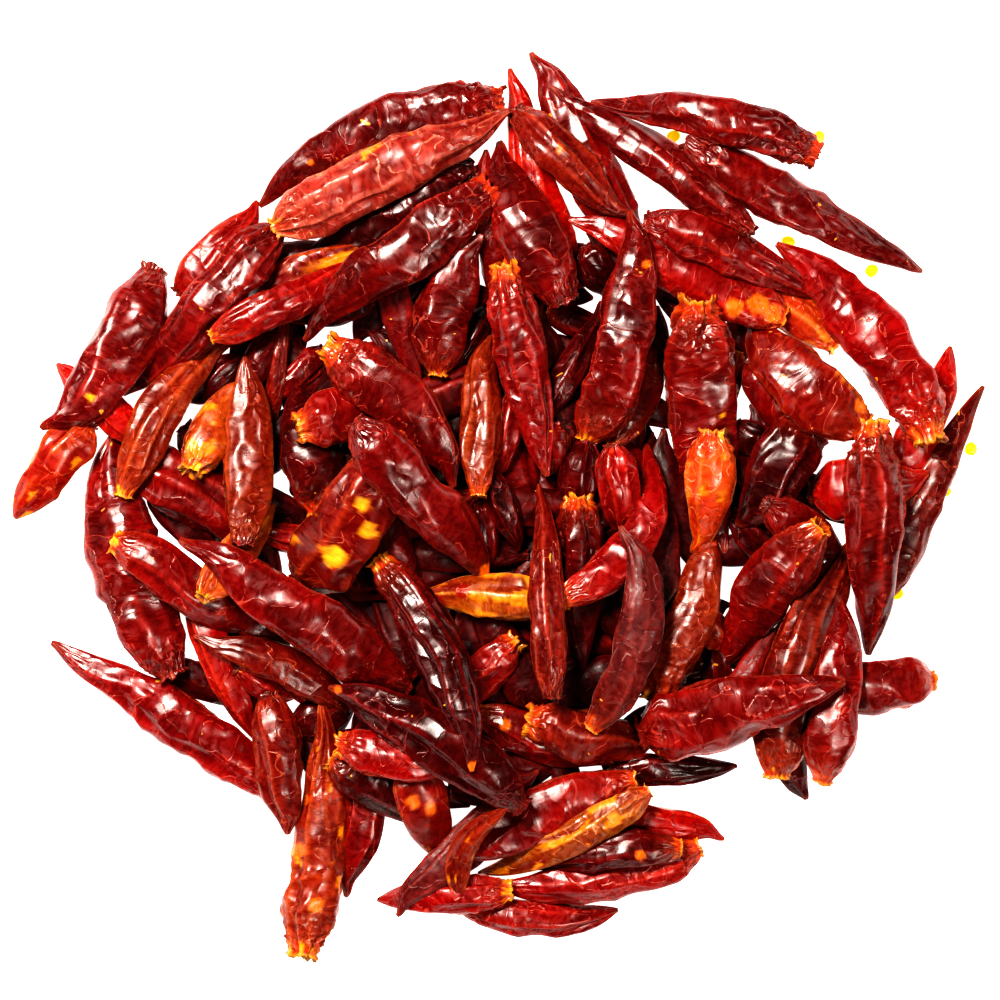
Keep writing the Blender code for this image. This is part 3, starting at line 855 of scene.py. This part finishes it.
def stalk_scar(skin, base, ahead):
    """Extra rings where the stalk broke off: a frayed little collar round a shallow pit."""
    middle = base.mean(axis=0)
    out = base - middle
    round_x, round_y = np.cos(skin.turn[0]), np.sin(skin.turn[0])
    frayed = noise(round_x * 2.6, round_y * 2.6, 0.0, skin.seed + 9)
    folded = noise(round_x * 1.7, round_y * 1.7, 4.0, skin.seed + 10)
    reach = skin.pod.half * (0.26 if skin.torn else 0.15)
    wider = 1.0 if skin.torn else 1.08
    rings = (
        (0.10, -0.35, 0.0), (0.45, -0.10, 0.1), (0.82, 0.55, 0.5),
        (1.00 * wider, 1.05, 1.0), (1.03 * wider, 0.75, 0.7), (0.92, 0.25, 0.2),
    )
    made = []
    for spread, far, loose in rings:
        along = reach * (far + loose * (0.75 * frayed + 0.5 * folded))
        bent = spread * (1.0 + 0.30 * loose * folded)
        made.append(middle + out * bent[:, None] - ahead * along[:, None])
    return np.array(made)


def body_colours(skin):
    """Mottled body, painted highlight on folds, painted shade in hollows, orange blotches on some
    pods, tinted ends.
    """
    kind = skin.pod.skin
    body, mottle, crease_highlight = SKINS[kind]
    lines, hollow = skin.creases()
    shade = 0.66 + 0.42 * skin.dice.random()
    mixing = 0.5 + 0.9 * skin.noise(12.0, 3.4, 20) + 0.15 * skin.noise(3.4, 1.3, 21)
    # Painted shade: hollows are mixed towards the darker mottling colour.
    colour = blend(body, mottle, np.clip(0.8 * mixing + 0.35 * hollow, 0.0, 1.0)) * shade
    if kind in SPOTTED_FROM:
        least = SPOTTED_FROM[kind]
        spots = skin.noise(6.0, 2.4, 22) + 0.22 * skin.noise(1.8, 1.0, 23)
        colour = blend(colour, SPOT, smooth_step(spots, least - 0.02, least + 0.10) * 0.85)
    if kind == "edged":
        up = skin.ry / ROUND_SCALE
        stripe = smooth_step(up + 0.25 * skin.noise(3.0, 1.0, 26), 0.80, 1.0)
        colour = blend(colour, SPOT, stripe * smooth_step(skin.t, 0.35, 0.6)[:, None])
    # Painted highlight: fold rims get the paler crease colour.
    colour = blend(colour, crease_highlight, 0.5 * lines)
    return tint_ends(skin, colour)


def tint_ends(skin, colour):
    """A blush and pleats of another colour at the stalk end, and a paler tip."""
    kind = skin.pod.end
    end = np.array(ENDS[kind])
    reach = END_REACH.get(kind, 0.02)
    ragged = skin.t[:, None] + 0.030 * skin.ragged(0.8, 3.0, 24)
    if kind in END_REACH:
        colour = blend(colour, BLUSH, 0.58 * np.exp(-np.clip(ragged, 0, 1) / 0.075))
    pleat = smooth_step(skin.ragged(1.1, 6.0, 25), -0.05, 0.25)
    end = blend(end * 0.45 if kind in ("plain", "hidden", "open") else BLUSH, end, pleat)
    colour = blend(colour, end, 1.0 - smooth_step(ragged, reach * 0.3, reach))
    colour = blend(colour, TIP, (smooth_step(skin.t, 0.93, 1.0) * 0.5)[:, None])
    return np.clip(colour, 0.0, 1.0)


def add_marks(skin, points, line, colours):
    """Paint the marks that the picture shows on the upper side of this pod."""
    for number, px, py, radius, tint in MARKS:
        if skin.pod.number == number:
            off = points[..., :2] - in_plan(px, py)
            off = np.hypot(off[..., 0], off[..., 1]) / PIXEL
            off = off + 0.18 * radius * skin.ragged(0.8, 2.2, 40)
            on_top = points[..., 2] > line[:, None, 2]
            weight = (1.0 - smooth_step(off, radius - 1.0, radius + 1.0)) * on_top
            colours[..., :3] = blend(colours[..., :3], ENDS[tint], weight)


def wrinkled_pod(pod, seed, step, fine):
    """Points, skin colours and places on the skin of one dried pod, ring by ring."""
    skin = Skin(pod, seed, step, fine)
    points, line, ahead = skin.points()
    scar = stalk_scar(skin, points[0], ahead)
    for part in (points, scar):
        part[..., 2] = np.maximum(part[..., 2], ON_FLOOR)
    colours, places = body_colours(skin), skin.places()
    stalk = np.broadcast_to(1.0 - smooth_step(skin.t, 0.02, 0.17)[:, None], skin.rx.shape)
    colours = np.concatenate([colours, stalk[..., None]], axis=-1)
    add_marks(skin, points, line, colours)
    scar_colours = np.repeat(colours[:1], len(scar), axis=0)
    # Painted shade: the pit rings are darkened.
    scar_colours[..., :3] *= np.array(PIT_PAINTED_SHADE)[:, None, None]
    if pod.end in END_REACH:
        scar_colours[3:5, :, :3] = 0.45 * scar_colours[3:5, :, :3] + 0.55 * np.array(TORN_RIM)
    return (
        np.concatenate([scar, points]),
        np.concatenate([scar_colours, colours]),
        np.concatenate([np.repeat(places[:1], len(scar), axis=0), places]),
    )


def quads_of(rings, columns, offset):
    """Faces between neighbouring rings, closed round the pod."""
    k = np.arange(rings - 1)[:, None] * columns
    c = np.arange(columns)[None, :]
    n = (c + 1) % columns
    faces = np.stack([k + c, k + n, k + columns + n, k + columns + c], axis=-1)
    return faces.reshape(-1, 4) + offset


def put_in_scene(name, data):
    """A new object in the scene."""
    made = bpy.data.objects.new(name, data)
    bpy.context.scene.collection.objects.link(made)
    return made


def mesh_of(name, parts):
    """One object from many pods, each closed at its tip and in its pit, with their colours."""
    points, colours, places, quads, fans, offset = [], [], [], [], [], 0
    for pod_points, pod_colours, pod_places in parts:
        rings, columns = pod_points.shape[:2]
        tip_middle, pit_middle = pod_points[-1].mean(axis=0)[None], pod_points[0].mean(axis=0)[None]
        points += [pod_points.reshape(-1, 3), tip_middle, pit_middle]
        colours += [pod_colours.reshape(-1, 4), pod_colours[-1, :1], pod_colours[0, :1]]
        places += [pod_places.reshape(-1, 4), pod_places[-1, :1], pod_places[0, :1]]
        quads.append(quads_of(rings, columns, offset))
        c = np.arange(columns)
        n = (c + 1) % columns
        last = offset + (rings - 1) * columns
        tip = np.full(columns, offset + rings * columns)
        fans.append(np.column_stack([last + c, last + n, tip]))
        fans.append(np.column_stack([offset + n, offset + c, tip + 1]))
        offset += rings * columns + 2
    points, colours, places = (np.concatenate(p) for p in (points, colours, places))
    quads, fans = np.concatenate(quads), np.concatenate(fans)
    mesh = bpy.data.meshes.new(name)
    loops = np.concatenate([quads.ravel(), fans.ravel()])
    starts = np.concatenate([np.arange(len(quads)) * 4, len(quads) * 4 + np.arange(len(fans)) * 3])
    mesh.vertices.add(len(points))
    mesh.vertices.foreach_set("co", points.astype(np.float32).ravel())
    mesh.loops.add(len(loops))
    mesh.loops.foreach_set("vertex_index", loops.astype(np.int32))
    mesh.polygons.add(len(starts))
    mesh.polygons.foreach_set("loop_start", starts.astype(np.int32))
    mesh.update(calc_edges=True)
    mesh.validate()
    mesh.shade_smooth()
    for layer_name, values in (("skin", colours), ("place", places)):
        layer = mesh.color_attributes.new(layer_name, "FLOAT_COLOR", "POINT")
        layer.data.foreach_set("color", values.astype(np.float32).ravel())
    return put_in_scene(name, mesh)


class Graph:
    """Short ways to add nodes to one material."""

    def __init__(self, name):
        self.material = bpy.data.materials.new(name)
        self.material.use_nodes = True
        self.nodes = self.material.node_tree.nodes
        self.links = self.material.node_tree.links
        self.shader = self.nodes["Principled BSDF"]

    def add(self, kind, settings=None, inputs=None):
        node = self.nodes.new(kind)
        for key, value in (settings or {}).items():
            setattr(node, key, value)
        for key, value in (inputs or {}).items():
            self.put(value, node.inputs[key])
        return node

    def put(self, value, socket):
        """Link another node's output to a socket, or give the socket a value."""
        if isinstance(value, bpy.types.NodeSocket):
            self.links.new(value, socket)
        else:
            socket.default_value = value

    def painted(self, name):
        return self.add("ShaderNodeAttribute", {"attribute_name": name})

    def math(self, operation, *values):
        return self.add("ShaderNodeMath", {"operation": operation}, dict(enumerate(values))).outputs[0]

    def times(self, first, second):
        return self.math("MULTIPLY", first, second)

    def scaled(self, vector, by):
        node = self.add("ShaderNodeVectorMath", {"operation": "MULTIPLY"}, {0: vector, 1: by})
        return node.outputs[0]

    def shaded(self, colour, by):
        node = self.add("ShaderNodeVectorMath", {"operation": "SCALE"}, {0: colour, "Scale": by})
        return node.outputs[0]

    def noise(self, vector, scale, detail=2.0, roughness=0.5):
        return self.add("ShaderNodeTexNoise", None, {
            "Vector": vector, "Scale": scale, "Detail": detail, "Roughness": roughness,
        }).outputs["Fac"]

    def ramp(self, value, low, high, to_low=0.0, to_high=1.0):
        return self.add("ShaderNodeMapRange", {"interpolation_type": "SMOOTHSTEP"}, {
            "Value": value, "From Min": low, "From Max": high, "To Min": to_low, "To Max": to_high,
        }).outputs[0]

    def mix(self, weight, first, second):
        node = self.add("ShaderNodeMix", {"data_type": "RGBA"})
        for socket, value in ((0, weight), (6, first), (7, second)):
            self.put(value, node.inputs[socket])
        return node.outputs[2]

    def folds(self, vector, width, detail=1.0):
        """How far from the nearest fold line, and the line itself."""
        level = self.noise(vector, 1.0, detail)
        away = self.math("ABSOLUTE", self.math("SUBTRACT", level, 0.5))
        return away, self.ramp(away, 0.0, width, 1.0, 0.0)

    def bump(self, height, strength, distance):
        inputs = {"Strength": strength, "Distance": distance, "Height": height}
        self.feed({"Normal": self.add("ShaderNodeBump", None, inputs).outputs[0]})

    def feed(self, inputs):
        """Give the material's shader its inputs."""
        for key, value in inputs.items():
            self.put(value, self.shader.inputs[key])


def fold_relief(g, spot, crossing, stalk, mottled):
    """Thin fold lines along, aslant and across a pod and at its stalk, and the skin's height."""
    long_away, long_line = g.folds(g.scaled(spot, (0.050, 0.21, 0.21)), 0.0085)
    bent_away, bent_line = g.folds(g.scaled(spot, (0.105, 0.090, 0.090)), 0.0060)
    cross_away, cross_line = g.folds(g.scaled(spot, (0.28, 0.080, 0.080)), 0.010)
    radial_away, radial_line = g.folds(g.scaled(spot, (0.16, 0.80, 0.80)), 0.022)
    broken = g.ramp(mottled, 0.44, 0.52)
    lines = g.math("MAXIMUM", g.times(long_line, g.math("SUBTRACT", 1.0, crossing)), bent_line)
    lines = g.times(lines, broken)
    lines = g.math("MAXIMUM", lines, g.times(cross_line, g.times(crossing, 0.25)))
    lines = g.math("MAXIMUM", lines, g.times(radial_line, stalk))
    relief = g.times(long_away, -1.9)
    relief = g.math("SUBTRACT", relief, g.times(bent_away, 2.4))
    relief = g.math("SUBTRACT", relief, g.times(g.times(cross_away, crossing), 0.70))
    relief = g.math("SUBTRACT", relief, g.times(g.times(radial_away, stalk), 2.4))
    relief = g.math("ADD", relief, g.times(lines, 0.14))
    grain = g.noise(spot, 1.9, 2.0, 0.6)
    return lines, g.math("ADD", relief, g.times(grain, 0.025))


def skin_material(name, roughness, gloss, bump, pale):
    """Dried skin: painted colours, fold lines, soft wrinkles, painted highlights on lines and rims,
    uneven gloss.
    """
    g = Graph(name)
    place, skin = g.painted("place"), g.painted("skin")
    spot = place.outputs["Vector"]
    mottled = g.noise(spot, 0.8, 4.0, 0.62)
    lines, relief = fold_relief(g, spot, place.outputs["Alpha"], skin.outputs["Alpha"], mottled)
    g.bump(relief, bump, FOLD_DEPTH)
    # Painted highlight: the skin is painted paler where it turns edge-on, at the silhouettes.
    edge = g.add("ShaderNodeLayerWeight", None, {"Blend": 0.5}).outputs["Facing"]
    rim = g.times(g.ramp(edge, 0.56, 0.80), g.ramp(mottled, 0.40, 0.55, 0.25, 0.75))
    flecks = g.ramp(g.noise(spot, 0.50, 1.0), 0.785, 0.80, 0.0, 0.8)
    colour = g.shaded(skin.outputs["Color"], g.ramp(mottled, 0.34, 0.66, 0.76, 1.20))
    colour = g.mix(rim, colour, pale)
    # Painted highlight: the fold lines are painted in the pale crease colour.
    colour = g.mix(g.times(lines, 0.50), colour, pale)
    colour = g.mix(flecks, colour, FLECK)
    uneven = g.ramp(mottled, 0.30, 0.68, roughness * 0.85, roughness * 1.55)
    g.feed({"Base Color": colour, "Roughness": uneven})
    g.feed({"Specular IOR Level": gloss, "Specular Tint": HIGHLIGHT})
    return g.material


def matt_material(name, roughness, glow=0.0):
    """Painted colours with a faint grain, for the core and for seeds that glow a little."""
    g = Graph(name)
    grain = g.noise(g.painted("place").outputs["Vector"], 1.4, 3.0, 0.6)
    colour = g.shaded(g.painted("skin").outputs["Color"], g.ramp(grain, 0.3, 0.7, 0.82, 1.12))
    uneven = g.ramp(grain, 0.3, 0.7, roughness * 0.85, roughness * 1.2)
    g.bump(grain, 0.4, GRAIN_DEPTH)
    g.feed({"Base Color": colour, "Roughness": uneven})
    g.feed({"Emission Color": SEED_GLOW, "Emission Strength": glow})
    return g.material


def in_one_colour(rings, colour):
    """Rings of points as mesh_of takes them, in one colour."""
    points = np.array(rings)
    places = np.concatenate([points * 1000.0, np.full(points.shape[:2] + (1,), 0.5)], axis=-1)
    return points, np.tile(np.array(colour), points.shape[:2] + (1,)), places


def add_core():
    """The dark, wrinkled mound under the middle pods; its dark colour is painted shade in the gaps."""
    turn = np.linspace(0.0, 2 * np.pi, CORE_COLUMNS, endpoint=False)
    cx, cy = in_plan(*CORE_CENTRE_PX)
    rings = []
    for k in range(CORE_RINGS):
        out = 1.0 - k / CORE_RINGS
        up = math.sqrt(max(1.0 - out * out, 0.0))
        px = cx + CORE_SIZE[0] * 0.97 * out * np.cos(turn)
        py = cy + CORE_SIZE[1] * 0.97 * out * np.sin(turn)
        crumple = 0.0012 * noise(px * 140, py * 140, 0.0, 5) - 0.0006
        pz = np.clip(CORE_HEIGHT * 0.35 * up + crumple * (up > 0.05), 0.0001, 1.0)
        rings.append(np.column_stack([px, py, pz]))
    return mesh_of("heap_core", [in_one_colour(rings, CORE_SHADE_COLOUR)])


def add_seeds():
    """Flat round seeds that fell beside the heap, with a rim and a hollow face."""
    turn = np.linspace(0.0, 2 * np.pi, SEED_COLUMNS, endpoint=False)
    outline = 1.0 - 0.16 * np.exp(-((turn - np.pi) / 0.45) ** 2)
    parts = []
    for x, y, angle in SEEDS:
        mx, my = in_plan(x, y)
        a = math.radians(angle)
        rings = []
        for out, up in SEED_PROFILE:
            px = 0.5 * SEED_WIDE * 1.12 * out * outline * np.cos(turn)
            py = 0.5 * SEED_WIDE * 0.92 * out * outline * np.sin(turn)
            rings.append(np.column_stack([
                mx + px * math.cos(a) - py * math.sin(a),
                my + px * math.sin(a) + py * math.cos(a),
                np.full(len(turn), 0.0001 + SEED_THICK * up),
            ]))
        parts.append(in_one_colour(rings[::-1], SEED_COLOUR))
    return mesh_of("loose_seeds", parts)


def add_floor():
    """A wide white floor that glows a little, so that it is as white as the picture's."""
    bpy.ops.mesh.primitive_plane_add(size=6.0, location=(0, 0, 0))
    floor = bpy.context.object
    floor.name = "pale_floor"
    g = Graph("pale_floor")
    g.feed({"Base Color": (0.90, 0.90, 0.90, 1.0), "Roughness": 0.9, "Specular IOR Level": 0.1})
    g.feed({"Emission Color": (1.0, 1.0, 1.0, 1.0), "Emission Strength": 0.64})
    floor.data.materials.append(g.material)


def add_lights():
    """A soft key light, a small fill light, low lights from three sides, and a faint sky."""
    world = bpy.data.worlds.new("studio")
    bpy.context.scene.world = world
    world.use_nodes = True
    sky = world.node_tree.nodes["Background"]
    sky.inputs["Color"].default_value = (1.0, 1.0, 1.0, 1.0)
    sky.inputs["Strength"].default_value = 0.03
    for name, place, size, power in LIGHTS:
        lamp = bpy.data.lights.new(name, "AREA")
        lamp.shape = "RECTANGLE"
        lamp.size, lamp.size_y = size
        lamp.energy = power
        made = put_in_scene(name, lamp)
        made.location = place
        made.rotation_euler = (-Vector(place)).to_track_quat("-Z", "Y").to_euler()


def add_camera():
    """Straight down, with the picture's frame 250 mm wide at the pods' mean height."""
    data = bpy.data.cameras.new("camera")
    data.sensor_width = SENSOR_MM
    data.lens = SENSOR_MM * (CAMERA_UP - SEEN_AT) / (PICTURE_PX * PIXEL)
    data.clip_start = 0.05
    data.clip_end = 20.0
    made = put_in_scene("camera", data)
    made.location = (0.0, (CENTRE_PX[1] - PICTURE_PX / 2) * PIXEL, CAMERA_UP)
    bpy.context.scene.camera = made


def dress(piece, material):
    """Give a piece of the heap its material, and let it stand for the solid heap."""
    piece.data.materials.append(material)
    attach(piece, "root")
    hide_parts("chilli_heap")


def main():
    settings = bpy.context.scene.view_settings
    settings.view_transform = "Standard"
    settings.look = "Very High Contrast"
    pods, x, y = lay_the_heap()
    piece_of = {skin: name for name, kind in KINDS.items() for skin in kind[0]}
    made = {}
    for number, pod in enumerate(pods):
        skin = wrinkled_pod(pod, 100 + number * 31, RING_STEP, 1.0)
        made.setdefault(piece_of[pod.skin], []).append(skin)
    made["hidden_pods"] = [
        wrinkled_pod(pod, 9000 + number * 17, HIDDEN_RING_STEP, HIDDEN_FINENESS)
        for number, pod in enumerate(hidden_pods(pods, x, y))
    ]
    for name, parts in made.items():
        dress(mesh_of(name, parts), skin_material("skin_of_" + name, *KINDS[name][1:]))
    dress(add_core(), matt_material("core_skin", 0.6))
    seeds = add_seeds()
    seeds.data.materials.append(matt_material("seed_skin", 0.45, 0.35))
    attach(seeds, "root")
    add_floor()
    add_lights()
    add_camera()


main()
